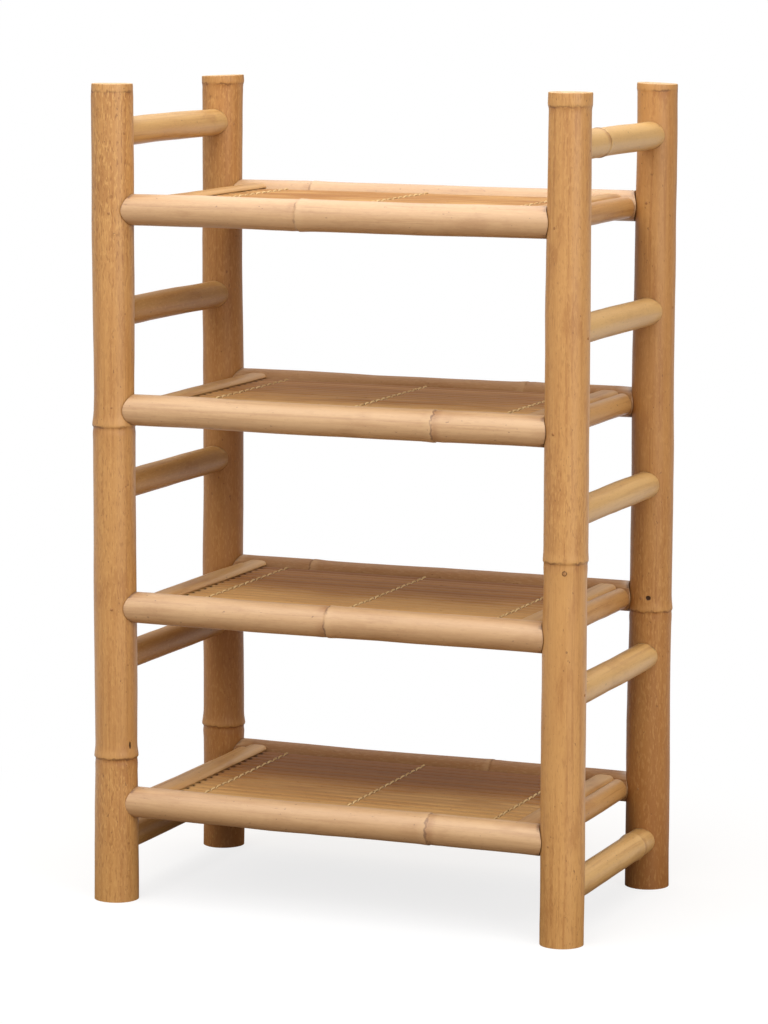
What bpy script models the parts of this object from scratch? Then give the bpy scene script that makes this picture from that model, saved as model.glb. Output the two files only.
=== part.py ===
"""A tiered shoe rack made of whole bamboo culms.

Four hollow posts stand at the corners. Shelf rails and side rungs have coped shoulders and tenons
that enter mortises in the posts. End rails are coped onto the shelf rails. Each shelf is a mat of
slats on a twine lacing, carried by three bearers that are let into the rails, with a batten over the
slat ends at each side. The origin is on the floor, in the middle of the four posts.
"""
from math import cos, pi, radians, sin, sqrt

import bmesh
import bpy
from mathutils import Matrix, Vector

# Overall sizes, in metres
RACK_HEIGHT = 0.950
POST_SPACING_X = 0.552
POST_SPACING_Y = 0.304

# Posts: tapered culms, hollow between their nodes and open at the foot
POST_FOOT_RADIUS = 0.0260
POST_TOP_RADIUS = 0.0248
POST_WALL = 0.0065
POST_TOP_ROUNDING = 0.0030
POST_FOOT_CHAMFER = 0.0010
TOP_NODE_DROP = 0.0120

# Culm nodes: a groove where the sheath sat, a ridge above it and a diaphragm inside
NODE_REACH = 0.0100
NODE_GROOVE_DROP = 0.0025
NODE_GROOVE = 0.0006
NODE_SWELL = 0.0014
DIAPHRAGM = 0.0050

# Shelves at an even pitch, counted from the floor up, with heights at the rails' centre lines
SHELF_COUNT = 4
BOTTOM_SHELF_HEIGHT = 0.117
TOP_SHELF_DROP = 0.143
RAIL_RADIUS = 0.0180
RAIL_TENON_RADIUS = 0.0120

# Rungs of the side ladders: one near the floor, then an even pitch from below the second shelf
FOOT_RUNG_HEIGHT = 0.058
SECOND_RUNG_DROP = 0.067
TOP_RUNG_DROP = 0.0595
UPPER_RUNG_COUNT = 4
RUNG_RADIUS = 0.0162
RUNG_TENON_RADIUS = 0.0105

# The left ladder's rungs sit a little higher than the right ladder's, from the floor up
LEFT_RUNG_RISES = (0.0110, 0.0040, 0.0020, 0.0, 0.0040)

# End rails, on the shelf rails just inside the posts
END_RAIL_RADIUS = 0.0140
END_RAIL_CLEARANCE = 0.0007

# Slat mats: heights are above the rails' centre lines
SLAT_COUNT = 16
SLAT_SEAT = 0.0045
SLAT_THICKNESS = 0.0050
SLAT_GAP = 0.0009
SLAT_CROWN = 0.0021
SLAT_EDGE = 0.0045
SLAT_END_GAP = 0.0008
MAT_EDGE_GAP = 0.0020
TWINE_RADIUS = 0.0016
TWINE_SINK = 0.0005

# Bearers: split laths, flat side up, under the lines of lacing
BEARER_SPACING = 0.180
BEARER_WIDTH = 0.0170
BEARER_DEPTH = 0.0100
BEARER_SEAT = 0.0080

# Battens: split laths over the slat ends
BATTEN_WIDTH = 0.0210
BATTEN_THICKNESS = 0.0048
BATTEN_CROWN = 0.0022
BATTEN_EDGE = 0.0050

# Fits
TENON_DEPTH = 0.0180
JOINT_CLEARANCE = 0.0003
COPE_CLEARANCE = 0.0005

# Facets round each kind of culm
POST_SIDES = 16
BORE_SIDES = 8
RAIL_SIDES = 12
RUNG_SIDES = 12
END_RAIL_SIDES = 12
TWINE_SIDES = 4
SMOOTH_ANGLE = radians(40.0)

# Post nodes: the shelf they are near, and the gap between its rail and the node
POST_NODES = {
    "front_left": {"above shelf 1": 0.019, "below shelf 3": 0.003},
    "front_right": {"above shelf 2": 0.048},
    "back_left": {"above shelf 1": 0.007, "below shelf 3": 0.012},
    "back_right": {"below shelf 2": 0.002},
}

# Rail and rung nodes: the post that they are nearer to, and the distance from its centre line
POLE_NODES = {
    "shelf_1_front_rail": {"right": 0.158},
    "shelf_2_front_rail": {"left": 0.252},
    "shelf_3_front_rail": {"right": 0.154},
    "shelf_4_front_rail": {"left": 0.233},
    "shelf_1_back_rail": {"right": 0.207},
    "shelf_2_back_rail": {"left": 0.121},
    "shelf_3_back_rail": {"right": 0.156},
    "shelf_4_back_rail": {"left": 0.120},
    "right_rung_1": {"back": 0.058},
    "right_rung_5": {"back": 0.128},
}

X_AXIS = Vector((1.0, 0.0, 0.0))
Y_AXIS = Vector((0.0, 1.0, 0.0))
Z_AXIS = Vector((0.0, 0.0, 1.0))


# Places that follow from the sizes above

def shelf_heights():
    """Heights of the shelves' rails, from the floor up."""
    top = RACK_HEIGHT - TOP_SHELF_DROP
    pitch = (top - BOTTOM_SHELF_HEIGHT) / (SHELF_COUNT - 1)
    return [BOTTOM_SHELF_HEIGHT + pitch * i for i in range(SHELF_COUNT)]


def rung_heights(side_x):
    """Heights of the rungs of the left or right ladder, from the floor up."""
    second = shelf_heights()[1] - SECOND_RUNG_DROP
    top = RACK_HEIGHT - TOP_RUNG_DROP
    pitch = (top - second) / (UPPER_RUNG_COUNT - 1)
    heights = [FOOT_RUNG_HEIGHT] + [second + pitch * i for i in range(UPPER_RUNG_COUNT)]
    if side_x > 0:
        return heights
    return [height + rise for height, rise in zip(heights, LEFT_RUNG_RISES, strict=True)]


def post_radius(height):
    """Radius of a post between nodes, which tapers from foot to top."""
    return POST_FOOT_RADIUS + (POST_TOP_RADIUS - POST_FOOT_RADIUS) * height / RACK_HEIGHT


def half_chord(radius, offset):
    """Half the width of a round culm at a distance from its centre line."""
    return sqrt(radius ** 2 - offset ** 2)


def end_rail_x():
    """Distance of the end rails from the middle of the rack, where their ends clear the posts."""
    post_side = half_chord(POST_FOOT_RADIUS, RAIL_RADIUS + COPE_CLEARANCE)
    return POST_SPACING_X / 2 - post_side - END_RAIL_CLEARANCE - END_RAIL_RADIUS


def mat_depth():
    """Depth of a slat mat, between the front and back rails."""
    return POST_SPACING_Y - 2 * (half_chord(RAIL_RADIUS, SLAT_SEAT) + MAT_EDGE_GAP)


def slat_top():
    """Height of the slats' tops above the rails' centre lines."""
    return SLAT_SEAT + SLAT_THICKNESS


# Mesh helpers

def circle(radius, sides, height=0.0):
    """A ring of points about the local Z axis."""
    turns = [2 * pi * i / sides for i in range(sides)]
    return [Vector((radius * cos(turn), radius * sin(turn), height)) for turn in turns]


def coped_ring(radius, sides, half_span, crossing_radius, end):
    """A ring on a pole's surface where it is coped to a culm that crosses its end along local X."""
    ring = circle(radius, sides)
    for point in ring:
        reach = half_chord(crossing_radius + COPE_CLEARANCE, point.y)
        point.z = end * (half_span - reach)
    return ring


def node_rings(radius, sides, place):
    """Rings of one culm node, from below its groove to above its ridge."""
    return [
        circle(radius, sides, place - NODE_REACH),
        circle(radius - NODE_GROOVE, sides, place - NODE_GROOVE_DROP),
        circle(radius + NODE_SWELL, sides, place),
        circle(radius, sides, place + NODE_REACH),
    ]


def add_skin(bm, rings):
    """Adds quads between neighbouring rings of points and returns the rings' vertices."""
    loops = [[bm.verts.new(point) for point in ring] for ring in rings]
    for lower, upper in zip(loops, loops[1:]):
        for i in range(len(lower)):
            bm.faces.new((lower[i - 1], lower[i], upper[i], upper[i - 1]))
    return loops


def add_solid(bm, rings):
    """Adds a closed body through rings of points, with flat ends."""
    loops = add_skin(bm, rings)
    bm.faces.new(reversed(loops[0]))
    bm.faces.new(loops[-1])


def add_saddle_end(bm, loop):
    """Closes a coped end with strips along local X, the way the crossing culm runs."""
    count = len(loop)
    quarter = count // 4
    for side in (1, -1):
        for i in range(quarter):
            strip = [i * side, (i + 1) * side, count // 2 - (i + 1) * side, count // 2 - i * side]
            corners = []
            for index in strip:
                vert = loop[index % count]
                if vert not in corners:
                    corners.append(vert)
            bm.faces.new(corners)


def add_prism(bm, outline, start, end):
    """Adds a bar along local Y with an outline of X and Z points."""
    rings = [[Vector((x, y, z)) for x, z in outline] for y in (end, start)]
    add_solid(bm, rings)


def finish_mesh(bm, name):
    """Turns a bmesh into a mesh with its faces pointing out and round parts shaded smooth."""
    bmesh.ops.recalc_face_normals(bm, faces=bm.faces)
    mesh = bpy.data.meshes.new(name)
    bm.to_mesh(mesh)
    bm.free()
    shade(mesh)
    return mesh


def shade(mesh):
    """Shades a mesh smooth, apart from its sharp edges."""
    mesh.shade_smooth()
    mesh.set_sharp_from_angle(angle=SMOOTH_ANGLE)


def pole_frame(along, across):
    """Rotation that lays a pole's local Z along one direction and its local X across it."""
    columns = (across, along.cross(across), along)
    return Matrix(columns).transposed()


# Object helpers

def make_material(name, colour, roughness):
    """A plain Principled material."""
    material = bpy.data.materials.new(name)
    material.use_nodes = True
    shader = material.node_tree.nodes["Principled BSDF"]
    shader.inputs["Base Color"].default_value = (*colour, 1.0)
    shader.inputs["Roughness"].default_value = roughness
    shader.inputs["Metallic"].default_value = 0.0
    material.diffuse_color = (*colour, 1.0)
    return material


def add_object(name, mesh, rack, material, location, rotation=None):
    """Adds one piece of the rack, placed by its location and rotation under the rack's empty."""
    piece = bpy.data.objects.new(name, mesh)
    bpy.context.scene.collection.objects.link(piece)
    piece.parent = rack
    piece.location = location
    if rotation is not None:
        piece.rotation_euler = rotation.to_euler()
    if not mesh.materials:
        mesh.materials.append(material)
    return piece


def apply_boolean(piece, operation, tool_mesh, tool_matrix):
    """Cuts a piece by a tool, or joins the tool to it, and keeps the result as the piece's mesh."""
    tool = bpy.data.objects.new("tool", tool_mesh)
    bpy.context.scene.collection.objects.link(tool)
    tool.matrix_world = tool_matrix
    modifier = piece.modifiers.new(operation.lower(), "BOOLEAN")
    modifier.operation = operation
    modifier.solver = "EXACT"
    modifier.object = tool
    depsgraph = bpy.context.evaluated_depsgraph_get()
    result = bpy.data.meshes.new_from_object(piece.evaluated_get(depsgraph))
    piece.modifiers.remove(modifier)
    piece.data = result
    shade(result)
    bpy.data.objects.remove(tool)


# Posts

def post_nodes(corner):
    """Heights of one post's nodes, with the one that its top is cut above."""
    heights = []
    for place, gap in POST_NODES[corner].items():
        side_word, _, shelf = place.split()
        side = 1 if side_word == "above" else -1
        rail = shelf_heights()[int(shelf) - 1]
        heights.append(rail + side * (RAIL_RADIUS + NODE_REACH + gap))
    return heights + [RACK_HEIGHT - TOP_NODE_DROP]


def post_body_mesh(corner):
    """The outside of a post: a turned culm with its nodes, a chamfered foot and a rounded top."""
    rings = [
        circle(POST_FOOT_RADIUS - POST_FOOT_CHAMFER, POST_SIDES),
        circle(post_radius(POST_FOOT_CHAMFER), POST_SIDES, POST_FOOT_CHAMFER),
    ]
    *inner_nodes, top_node = post_nodes(corner)
    for height in inner_nodes:
        rings += node_rings(post_radius(height), POST_SIDES, height)
    rings += node_rings(POST_TOP_RADIUS, POST_SIDES, top_node)[:3]
    rings += [
        circle(POST_TOP_RADIUS, POST_SIDES, RACK_HEIGHT - POST_TOP_ROUNDING),
        circle(POST_TOP_RADIUS - POST_TOP_ROUNDING, POST_SIDES, RACK_HEIGHT),
    ]
    bm = bmesh.new()
    add_solid(bm, rings)
    return finish_mesh(bm, corner + "_post")


def post_hollow_mesh(corner):
    """The hollows of a post, between the diaphragms at its nodes and out of its foot."""
    bm = bmesh.new()
    bottom = -POST_WALL
    for node in post_nodes(corner):
        top = node - DIAPHRAGM / 2
        rings = [circle(post_radius(height) - POST_WALL, BORE_SIDES, height) for height in (bottom, top)]
        add_solid(bm, rings)
        bottom = node + DIAPHRAGM / 2
    return finish_mesh(bm, corner + "_hollow")


def add_mortises(bm, heights, tenon_radius, sides, inward):
    """Adds the mortise cutters on one side of a post, from its centre line to past its surface."""
    turn = pole_frame(inward, Z_AXIS)
    radius = tenon_radius + JOINT_CLEARANCE
    for height in heights:
        mouth = post_radius(height) + TENON_DEPTH
        rings = [circle(radius, sides, place) for place in (0.0, mouth)]
        add_solid(bm, [[turn @ point + Z_AXIS * height for point in ring] for ring in rings])


def post_mortise_mesh(side_x, side_y):
    """All mortises of one post: the rails come in along X and the rungs along Y."""
    bm = bmesh.new()
    add_mortises(bm, shelf_heights(), RAIL_TENON_RADIUS, RAIL_SIDES, X_AXIS * -side_x)
    add_mortises(bm, rung_heights(side_x), RUNG_TENON_RADIUS, RUNG_SIDES, Y_AXIS * -side_y)
    return finish_mesh(bm, "mortises")


def make_posts(rack, material):
    """The four corner posts."""
    for corner in POST_NODES:
        depth_word, width_word = corner.split("_")
        side_x = 1 if width_word == "right" else -1
        side_y = 1 if depth_word == "back" else -1
        place = Vector((side_x * POST_SPACING_X / 2, side_y * POST_SPACING_Y / 2, 0.0))
        post = add_object(corner + "_post", post_body_mesh(corner), rack, material, place)
        bpy.context.view_layer.update()
        apply_boolean(post, "DIFFERENCE", post_hollow_mesh(corner), Matrix.Translation(place))
        apply_boolean(post, "DIFFERENCE", post_mortise_mesh(side_x, side_y), Matrix.Translation(place))


# Rails and rungs

def pole_nodes(name, half_span):
    """Places of a rail's or rung's nodes, from its middle."""
    places = []
    for post, distance in POLE_NODES.get(name, {}).items():
        side = 1 if post in ("right", "back") else -1
        places.append(side * (half_span - distance))
    return places


def tenoned_pole_mesh(name, radius, sides, half_span, crossing_radius, tenon_radius):
    """A culm with coped shoulders and a round tenon at each end, between two crossing culms."""
    tenon_end = half_span - crossing_radius + TENON_DEPTH
    rings = [
        circle(tenon_radius, sides, -tenon_end),
        coped_ring(tenon_radius, sides, half_span, crossing_radius, -1),
        coped_ring(radius, sides, half_span, crossing_radius, -1),
    ]
    for place in pole_nodes(name, half_span):
        rings += node_rings(radius, sides, place)
    rings += [
        coped_ring(radius, sides, half_span, crossing_radius, 1),
        coped_ring(tenon_radius, sides, half_span, crossing_radius, 1),
        circle(tenon_radius, sides, tenon_end),
    ]
    bm = bmesh.new()
    add_solid(bm, rings)
    return finish_mesh(bm, name)


def bearer_outline(clearance=0.0):
    """Outline of a bearer in X and Z: flat on top and round below."""
    half_width = BEARER_WIDTH / 2 + clearance
    depth = BEARER_DEPTH + clearance
    turns = [pi * (1 + i / 4) for i in range(5)]
    outline = [(half_width * cos(turn), depth * sin(turn)) for turn in turns]
    if clearance:
        outline += [(half_width, clearance), (-half_width, clearance)]
    return outline


def bearer_places():
    """Places of one shelf's bearers along X."""
    return [BEARER_SPACING * i for i in (-1, 0, 1)]


def bearer_end():
    """Distance of a bearer's ends from the middle of the rack."""
    return POST_SPACING_Y / 2 - RAIL_RADIUS + BEARER_SEAT


def bearer_top(shelf_height):
    """Height of a bearer's flat top, just under the slats."""
    return shelf_height + SLAT_SEAT - JOINT_CLEARANCE


def bearer_mortise_mesh():
    """The slots that a shelf's bearers need in its two rails."""
    bm = bmesh.new()
    reach = bearer_end() + JOINT_CLEARANCE
    for place in bearer_places():
        outline = [(place + x, z) for x, z in bearer_outline(JOINT_CLEARANCE)]
        add_prism(bm, outline, -reach, reach)
    return finish_mesh(bm, "bearer_slots")


def make_rails(rack, material):
    """The front and back rail of each shelf, with slots for its bearers."""
    turn = pole_frame(X_AXIS, Z_AXIS)
    for side_word, side_y in (("front", -1), ("back", 1)):
        for shelf, height in enumerate(shelf_heights(), start=1):
            name = f"shelf_{shelf}_{side_word}_rail"
            mesh = tenoned_pole_mesh(
                name, RAIL_RADIUS, RAIL_SIDES, POST_SPACING_X / 2, post_radius(height), RAIL_TENON_RADIUS
            )
            place = Vector((0.0, side_y * POST_SPACING_Y / 2, height))
            rail = add_object(name, mesh, rack, material, place, turn)
            bpy.context.view_layer.update()
            slots = Matrix.Translation(Z_AXIS * bearer_top(height))
            apply_boolean(rail, "DIFFERENCE", bearer_mortise_mesh(), slots)


def make_rungs(rack, material):
    """The rungs of the left and right ladders."""
    turn = pole_frame(Y_AXIS, Z_AXIS)
    for side_word, side_x in (("left", -1), ("right", 1)):
        for rung, height in enumerate(rung_heights(side_x), start=1):
            name = f"{side_word}_rung_{rung}"
            mesh = tenoned_pole_mesh(
                name, RUNG_RADIUS, RUNG_SIDES, POST_SPACING_Y / 2, post_radius(height), RUNG_TENON_RADIUS
            )
            place = Vector((side_x * POST_SPACING_X / 2, 0.0, height))
            add_object(name, mesh, rack, material, place, turn)


# End rails

def end_rail_mesh():
    """A thin culm with both ends coped to sit on the front and back rails."""
    half_span = POST_SPACING_Y / 2
    rings = [coped_ring(END_RAIL_RADIUS, END_RAIL_SIDES, half_span, RAIL_RADIUS, end) for end in (-1, 1)]
    bm = bmesh.new()
    for loop in add_skin(bm, rings):
        add_saddle_end(bm, loop)
    return finish_mesh(bm, "end_rail")


def make_end_rails(rack, material):
    """The left and right end rail of each shelf."""
    mesh = end_rail_mesh()
    turn = pole_frame(Y_AXIS, X_AXIS)
    for side_word, side_x in (("left", -1), ("right", 1)):
        for shelf, height in enumerate(shelf_heights(), start=1):
            place = Vector((side_x * end_rail_x(), 0.0, height))
            add_object(f"shelf_{shelf}_{side_word}_end_rail", mesh, rack, material, place, turn)


# Shelves

def lath_outline(width, thickness, crown, edge):
    """Outline of a lath with a flat underside and a crowned top."""
    half = width / 2
    return [
        (-half, 0.0), (half, 0.0), (half, thickness - crown),
        (half - edge, thickness), (edge - half, thickness), (-half, thickness - crown),
    ]


def slat_pitch():
    """Distance from one slat to the next."""
    return mat_depth() / SLAT_COUNT


def slats_mesh():
    """The slats of one mat, along X, side by side with a small gap."""
    half_length = end_rail_x() - END_RAIL_RADIUS - SLAT_END_GAP
    outline = lath_outline(slat_pitch() - SLAT_GAP, SLAT_THICKNESS, SLAT_CROWN, SLAT_EDGE)
    bm = bmesh.new()
    for i in range(SLAT_COUNT):
        middle = slat_pitch() * (i + 0.5) - mat_depth() / 2
        rings = [[Vector((x, middle + y, z)) for y, z in outline] for x in (-half_length, half_length)]
        add_solid(bm, rings)
    return finish_mesh(bm, "slats")


def lacing_mesh():
    """The lines of twine that run over the slats of one mat and hold them together."""
    half_length = (mat_depth() - slat_pitch()) / 2
    height = SLAT_THICKNESS - TWINE_SINK
    outline = [(point.x, point.y + height) for point in circle(TWINE_RADIUS, TWINE_SIDES)]
    bm = bmesh.new()
    for place in bearer_places():
        add_prism(bm, [(place + x, z) for x, z in outline], -half_length, half_length)
    return finish_mesh(bm, "lacing")


def make_mats(rack, material):
    """The laced slat mat of each shelf."""
    first = None
    for shelf, height in enumerate(shelf_heights(), start=1):
        place = Z_AXIS * (height + SLAT_SEAT)
        mesh = first.data if first else slats_mesh()
        mat = add_object(f"shelf_{shelf}_slat_mat", mesh, rack, material, place)
        bpy.context.view_layer.update()
        if first is None:
            apply_boolean(mat, "UNION", lacing_mesh(), Matrix.Translation(place))
            first = mat


def make_bearers(rack, material):
    """The bearers under each mat, flat side up, with their ends let into the rails."""
    bm = bmesh.new()
    add_prism(bm, bearer_outline(), -bearer_end(), bearer_end())
    mesh = finish_mesh(bm, "bearer")
    for shelf, height in enumerate(shelf_heights(), start=1):
        for word, place in zip(("left", "middle", "right"), bearer_places()):
            location = Vector((place, 0.0, bearer_top(height)))
            add_object(f"shelf_{shelf}_{word}_bearer", mesh, rack, material, location)


def make_battens(rack, material):
    """The batten over the slat ends at each side of each shelf, against the end rail's shoulder."""
    seat = slat_top() + JOINT_CLEARANCE
    half_length = POST_SPACING_Y / 2 - half_chord(RAIL_RADIUS, seat) - COPE_CLEARANCE
    bm = bmesh.new()
    outline = lath_outline(BATTEN_WIDTH, BATTEN_THICKNESS, BATTEN_CROWN, BATTEN_EDGE)
    add_prism(bm, outline, -half_length, half_length)
    mesh = finish_mesh(bm, "batten")
    shoulder = end_rail_x() - half_chord(END_RAIL_RADIUS, seat) - JOINT_CLEARANCE
    for side_word, side_x in (("left", -1), ("right", 1)):
        for shelf, height in enumerate(shelf_heights(), start=1):
            location = Vector((side_x * (shoulder - BATTEN_WIDTH / 2), 0.0, height + seat))
            add_object(f"shelf_{shelf}_{side_word}_batten", mesh, rack, material, location)


def main():
    """Builds the rack in an emptied scene."""
    for item in list(bpy.data.objects):
        bpy.data.objects.remove(item)
    rack = bpy.data.objects.new("shoe_rack", None)
    bpy.context.scene.collection.objects.link(rack)
    make_posts(rack, make_material("post_bamboo", (0.46, 0.24, 0.10), 0.42))
    make_rails(rack, make_material("rail_bamboo", (0.52, 0.30, 0.14), 0.40))
    make_rungs(rack, make_material("rung_bamboo", (0.50, 0.32, 0.14), 0.42))
    make_end_rails(rack, make_material("end_rail_bamboo", (0.42, 0.25, 0.11), 0.45))
    make_mats(rack, make_material("slat_bamboo", (0.34, 0.17, 0.08), 0.50))
    make_bearers(rack, make_material("bearer_bamboo", (0.38, 0.22, 0.11), 0.60))
    make_battens(rack, make_material("batten_bamboo", (0.48, 0.29, 0.15), 0.45))


main()
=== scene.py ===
"""The looks of a tiered shoe rack of whole bamboo culms, laid out as an add-on.

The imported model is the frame. Each operator models one group of like pieces on it: culms that swell at
their nodes and are coped where they meet, crowned slats, twisted lacing, laths, pins and branch marks.
"""
from collections import namedtuple
from math import atan2, cos, exp, pi, radians, sin
from random import Random

import bmesh
import bpy
import numpy as np
from mathutils import Matrix, Vector


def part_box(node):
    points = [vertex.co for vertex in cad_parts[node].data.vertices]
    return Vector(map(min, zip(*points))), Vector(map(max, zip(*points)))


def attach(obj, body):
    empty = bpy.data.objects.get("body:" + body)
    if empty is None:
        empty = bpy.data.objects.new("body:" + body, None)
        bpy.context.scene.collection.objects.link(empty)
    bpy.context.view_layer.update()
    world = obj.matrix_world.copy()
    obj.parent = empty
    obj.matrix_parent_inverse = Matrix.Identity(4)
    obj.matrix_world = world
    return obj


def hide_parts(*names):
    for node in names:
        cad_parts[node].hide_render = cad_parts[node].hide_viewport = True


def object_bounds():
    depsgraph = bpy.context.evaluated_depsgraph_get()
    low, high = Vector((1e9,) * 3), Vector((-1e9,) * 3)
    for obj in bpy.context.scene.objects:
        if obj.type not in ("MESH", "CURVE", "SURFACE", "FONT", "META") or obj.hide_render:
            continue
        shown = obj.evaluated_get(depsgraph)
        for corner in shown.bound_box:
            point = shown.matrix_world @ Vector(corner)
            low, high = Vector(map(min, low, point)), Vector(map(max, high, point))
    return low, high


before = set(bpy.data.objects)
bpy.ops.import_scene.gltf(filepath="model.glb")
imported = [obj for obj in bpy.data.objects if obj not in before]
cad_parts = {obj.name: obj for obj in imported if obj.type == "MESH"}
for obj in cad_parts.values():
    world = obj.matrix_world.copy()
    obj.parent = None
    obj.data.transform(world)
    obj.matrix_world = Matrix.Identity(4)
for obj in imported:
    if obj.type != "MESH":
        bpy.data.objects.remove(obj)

bl_info = {
    "name": "Bamboo Shoe Rack",
    "version": (1, 0, 0),
    "blender": (4, 5, 0),
    "location": "View3D > Sidebar > Shoe Rack",
    "description": "Models the culms, slats and lacing of a tiered bamboo shoe rack",
    "category": "Object",
}

CAD_BOX = [list(corner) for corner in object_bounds()]
BODY = "root"
SHELVES = (1, 2, 3, 4)
RUNGS = (1, 2, 3, 4, 5)
SIDE_WAYS = {"left": -1, "right": 1}
X_AXIS, Y_AXIS, Z_AXIS = 0, 1, 2
ORIGIN = (0.0, 0.0, 0.0)

# A culm's node: its place along the culm, and its share of the full swelling
Node = namedtuple("Node", "place share")

# A post's cut top: depth of its collar, how far the collar stands out, and the tilt of the cut in degrees
CutTop = namedtuple("CutTop", "collar flare tilt")

# Each post: its nodes, its top, and three lists by height: the share of the plain taper that its radius
# has, how flecked its skin is, and how pale or deep its skin is, which on the back posts is partly their
# own colour and partly painted shade, deepest at the foot
PostCulm = namedtuple("PostCulm", "nodes top waists flecks tones")
POST_CULMS = {
    "front_left": PostCulm(
        nodes=(Node(0.170, 1.0), Node(0.558, 0.9)), top=CutTop(0.0090, -0.0005, 0.0),
        waists=((0.05, 1.0), (0.18, 0.945), (0.27, 0.975), (0.54, 0.965), (0.60, 0.915), (0.68, 0.955),
                (0.90, 0.975)),
        flecks=((0.05, 0.7), (0.155, 0.9), (0.17, 0.3), (0.50, 0.7), (0.56, 0.3), (0.70, 0.5), (0.80, 1.0)),
        tones=((0.0, 0.10), (0.15, 0.0), (0.18, 0.15), (0.90, 0.10))),
    "front_right": PostCulm(
        nodes=(Node(0.4345, 0.7),), top=CutTop(0.0150, 0.0009, -0.5),
        waists=((0.03, 0.96), (0.25, 0.98), (0.42, 0.955), (0.45, 0.98), (0.72, 0.99), (0.93, 0.95)),
        flecks=((0.05, 0.5), (0.40, 0.2), (0.48, 0.7), (0.60, 0.4), (0.90, 0.5)),
        tones=((0.0, 0.10), (0.44, 0.10), (0.95, 0.0))),
    "back_left": PostCulm(
        nodes=(Node(0.152, 1.2), Node(0.537, 0.5)), top=CutTop(0.0095, 0.0008, 2.4),
        waists=((0.10, 0.975), (0.45, 0.965), (0.55, 0.985), (0.80, 0.96), (0.93, 0.985)),
        flecks=((0.10, 0.3), (0.60, 0.3), (0.90, 0.6)),
        # painted shade: deeper towards the foot, over the post's own deeper colour
        tones=((0.0, -0.90), (0.14, -0.70), (0.30, -0.75), (0.60, -0.60), (0.90, -0.30))),
    "back_right": PostCulm(
        nodes=(Node(0.333, 0.8),), top=CutTop(0.0080, 0.0002, -2.2),
        waists=((0.05, 1.0), (0.20, 1.0), (0.30, 0.965), (0.60, 0.975), (0.93, 0.935)),
        flecks=((0.10, 0.3), (0.30, 0.5), (0.60, 0.3), (0.90, 0.3)),
        # painted shade: deeper towards the foot, over the post's own deeper colour
        tones=((0.0, -1.00), (0.10, -0.80), (0.20, -0.60), (0.45, -0.30), (0.90, -0.25))),
}

# Holes that branches left in the posts: height, turn from the front in degrees, half sizes, and the radius
# of the peg that fills one
Hole = namedtuple("Hole", "height turn half_width half_length peg")
POST_HOLES = {
    "front_left": Hole(0.186, 66.0, 0.0016, 0.0055, None),
    "front_right": Hole(0.424, 17.0, 0.0034, 0.0036, 0.0023),
    "back_right": Hole(0.350, 12.0, 0.0042, 0.0037, None),
}
HOLE_DEPTH = 0.007
HOLE_TAPER = 0.55

# Nodes of rails and rungs, by their distance from the middle of the rack
POLE_NODES = {
    "shelf_1_front_rail": Node(0.118, 0.60), "shelf_2_front_rail": Node(-0.006, 0.50),
    "shelf_3_front_rail": Node(0.122, 0.60), "shelf_4_front_rail": Node(-0.043, 0.50),
    "shelf_1_back_rail": Node(0.080, 0.40), "shelf_2_back_rail": Node(-0.155, 0.40),
    "shelf_3_back_rail": Node(0.120, 0.40), "shelf_4_back_rail": Node(-0.156, 0.40),
    "right_rung_1": Node(0.094, 0.80), "right_rung_5": Node(-0.060, 0.60),
}

# Painted light and shade on each rail and rung, from the floor up: the lower back rails, deepest near the
# floor, and the lower four left rungs are deepened as painted shade under the shelves; the front rails,
# the top back rail, the top left rung and the right rungs, paler higher up, are paled as painted light
RAIL_PAINTED_SHADING = {"front": (0.25, 0.25, 0.25, 0.20), "back": (-0.90, -0.80, -0.50, 0.20)}
RUNG_PAINTED_SHADING = {"left": (-0.50, -0.65, -0.55, -0.65, 0.10), "right": (0.20, 0.20, 0.35, 0.50, 0.65)}

# A node's outline along the way the culm grew: distance from the sheath scar, and added radius
NODE_OUTLINE = (
    (-0.0170, 0.0000), (-0.0100, 0.0004), (-0.0055, 0.0010), (-0.0020, 0.0014), (-0.0004, 0.0012),
    (0.0008, 0.0003), (0.0022, -0.0001), (0.0045, 0.0001), (0.0080, 0.0004), (0.0110, 0.0003),
    (0.0170, 0.0000),
)
NODE_REACH = 0.017
FAR_FROM_NODE = 0.05

# Half the width of the line between a node's two sides, and the share of a full swelling at a post's top
NODE_LINE = 0.0005
TOP_NODE_SHARE = 0.15

# The posts stand with the way that they grew pointing down
POST_GROWTH = -1

# A culm's stray from a straight line: two wavelengths, and the share of the shorter one
SLOW_WAVE, QUICK_WAVE = 0.43, 0.19
QUICK_SHARE = 0.4

# How many sides the culms have, and how wide the dents in their skin are
POST_SIDES, POLE_SIDES = 64, 40
POST_DENT, POLE_DENT = 0.06, 0.05
POLE_FLECKS = 0.2
SHARP_ANGLE = radians(38.0)

# A post's top: where its collar begins to stand out and where it is full, the depth of its dished end, and
# the share of the wall that the level rim takes
COLLAR_RISE = (-0.0040, 0.0020)
DISH_DEPTH = 0.0012
RIM_SHARE = 0.7

# Sawn faces of a post look this far up or down, or lie this share of the wall inside its skin
SAWN_NORMAL = 0.8
SAWN_SHARE = 0.6

# Pins: how far round each post from its front, for the rails' tenons and for the rungs'
PIN_TURNS = {
    "front_left": (18.0, 62.0), "front_right": (-18.0, 84.0),
    "back_left": (14.0, 62.0), "back_right": (-11.0, 84.0),
}

# How far pins stray up or down, and round in degrees, shares of the full radius, depth, and the dome's edge
# as a share of the radius and its height
PIN_SHIFT = 0.006
PIN_SPREAD = 4.0
PIN_SHARES = (0.85, 1.1)
PIN_DEPTH = 0.004
DOME_EDGE, DOME_HEIGHT = 0.35, 0.0003


# Properties

def length(words, default):
    """A size in metres."""
    return bpy.props.FloatProperty(description=words, default=default, min=0.0, precision=4, unit="LENGTH")


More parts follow.
